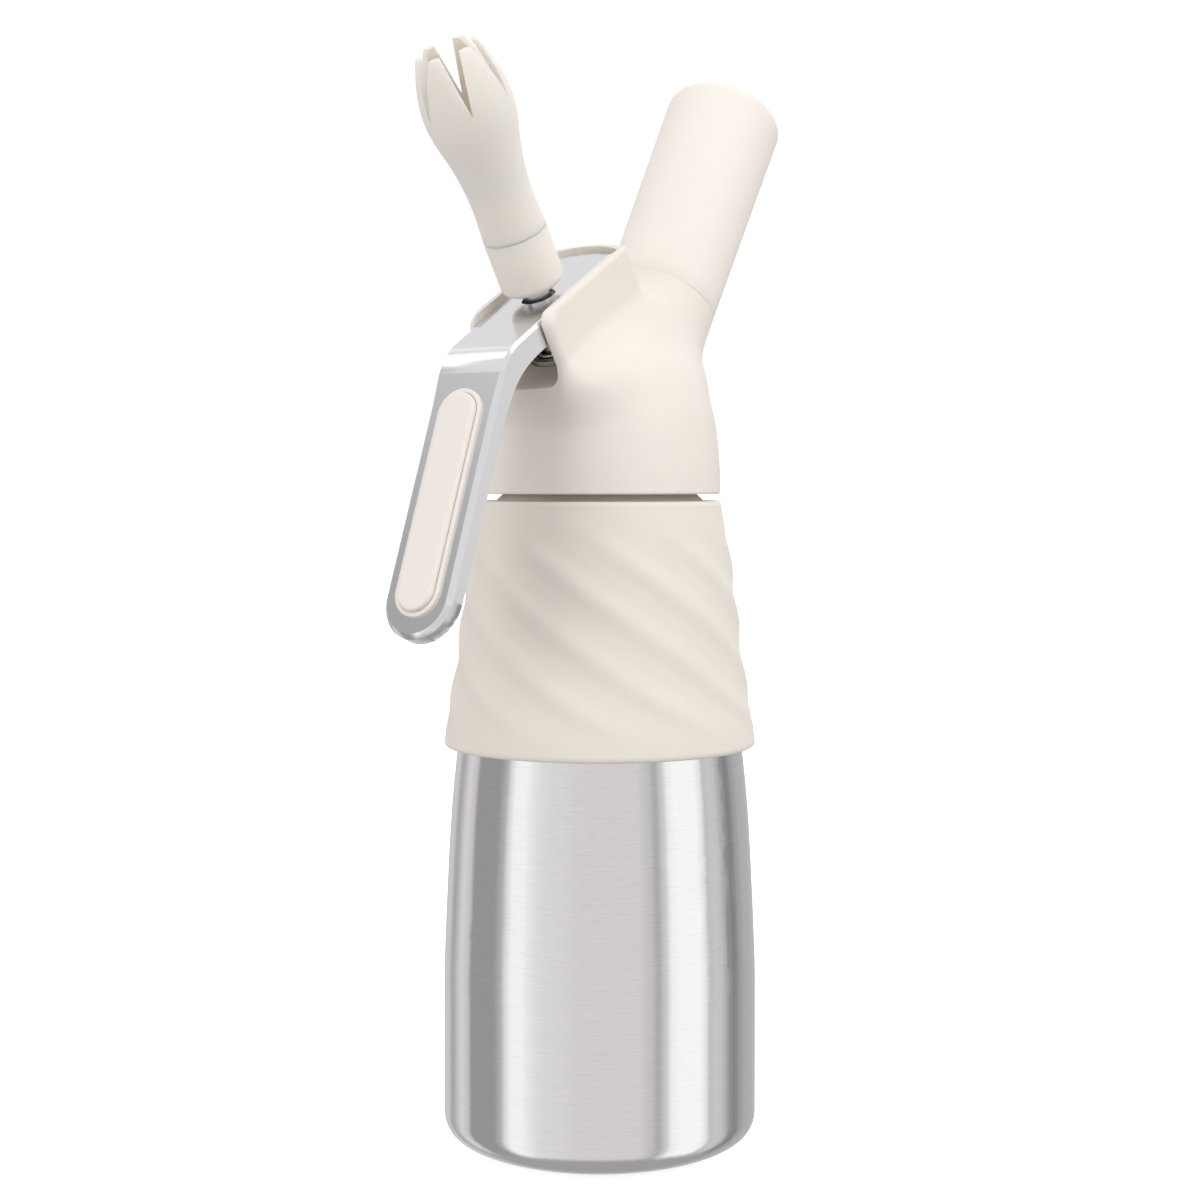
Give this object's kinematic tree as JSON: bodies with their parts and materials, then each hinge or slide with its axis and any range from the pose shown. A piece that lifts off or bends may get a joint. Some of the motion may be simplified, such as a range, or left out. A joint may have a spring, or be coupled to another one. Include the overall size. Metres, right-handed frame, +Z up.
{
  "type": "whipped cream dispenser",
  "caption": "Steel cream whipper: tapered bottle with a soft grip sleeve, screwed head with a sprung lever and valve, tulip tip, and a leaning gas charger holder.",
  "frame": {"origin": "centre of the bottle's base, in the plane it stands on", "axes": "+Z up the bottle, -Y towards the lever and the tip, +Y towards the charger holder, X across the lever"},
  "size_m": [0.082, 0.1553, 0.286],
  "materials": {
    "steel_bottle": "polished steel with a fine grain",
    "silicone_sleeve": "matt silicone",
    "gasket": "matt silicone",
    "head_plastic": "fine satin",
    "liner_metal": "satin",
    "valve_steel": "turned",
    "seal_rubber": "matt",
    "spring_steel": "drawn wire",
    "lever_steel": "satin steel with polished bevels",
    "pad_plastic": "fine satin",
    "tip_plastic": "fine satin",
    "plated_brass": "turned and plated",
    "holder_plastic": "fine satin",
    "charger_steel": "plated steel"
  },
  "bodies": {
    "bottle": {"bottle": "steel_bottle", "bottle_sleeve": "silicone_sleeve"},
    "head_gasket": {"head_gasket": "gasket"},
    "head": {"head_shell": "head_plastic", "thread_liner": "liner_metal", "valve_guide": "valve_steel", "valve_spring": "spring_steel", "charger_socket": "plated_brass", "piercing_pin": "valve_steel", "charger_seal": "seal_rubber", "check_sleeve": "seal_rubber", "lever_pin": "valve_steel"},
    "lever": {"lever_arm": "lever_steel", "lever_pad": "pad_plastic"},
    "valve_stem": {"valve_stem": "valve_steel", "stem_oring": "seal_rubber", "valve_seal": "seal_rubber", "seal_nut": "valve_steel", "stem_washer": "valve_steel"},
    "tip_adapter": {"tip_adapter": "tip_plastic", "adapter_insert": "valve_steel"},
    "decorator_tip": {"decorator_tip": "tip_plastic"},
    "gas_charger": {"gas_charger": "charger_steel"},
    "charger_holder": {"holder_shell": "holder_plastic", "holder_liner": "liner_metal"}
  },
  "joints": [
    {"name": "head_lift_off", "type": "slide", "parent": "bottle", "child": "head_gasket", "axis": [0, 0, 1], "range_m": [0, 0.12]},
    {"name": "head_unscrew", "type": "hinge", "parent": "head_gasket", "child": "head", "pos_m": [0, 0, 0.18], "axis": [0, 0, 1], "range_deg": [0, 540]},
    {"name": "lever_press", "type": "hinge", "parent": "head", "child": "lever", "pos_m": [0, -0.01154, 0.22769], "axis": [1, 0, 0], "range_deg": [0, 9.5], "stiffness_Nm_per_rad": 1.15, "springref_deg": -8.59},
    {"name": "valve_slide", "type": "slide", "parent": "head", "child": "valve_stem", "axis": [0, 0.5519, -0.8339], "range_m": [0, 0.0029], "deforming": ["valve_spring"]},
    {"name": "tip_adapter_off", "type": "slide", "parent": "valve_stem", "child": "tip_adapter", "axis": [0, -0.5519, 0.8339], "range_m": [0, 0.03]},
    {"name": "tip_off", "type": "slide", "parent": "tip_adapter", "child": "decorator_tip", "axis": [0, -0.5519, 0.8339], "range_m": [0, 0.03]},
    {"name": "charger_withdraw", "type": "slide", "parent": "head", "child": "gas_charger", "axis": [0, 0.5321, 0.8467], "range_m": [0, 0.085]},
    {"name": "holder_unscrew", "type": "hinge", "parent": "gas_charger", "child": "charger_holder", "pos_m": [0, 0.04379, 0.24698], "axis": [0, 0.5321, 0.8467], "range_deg": [0, 1080]}
  ],
  "couplings": [
    {"joint": "valve_slide", "follows": "lever_press", "m_per_rad": 0.0167}
  ]
}
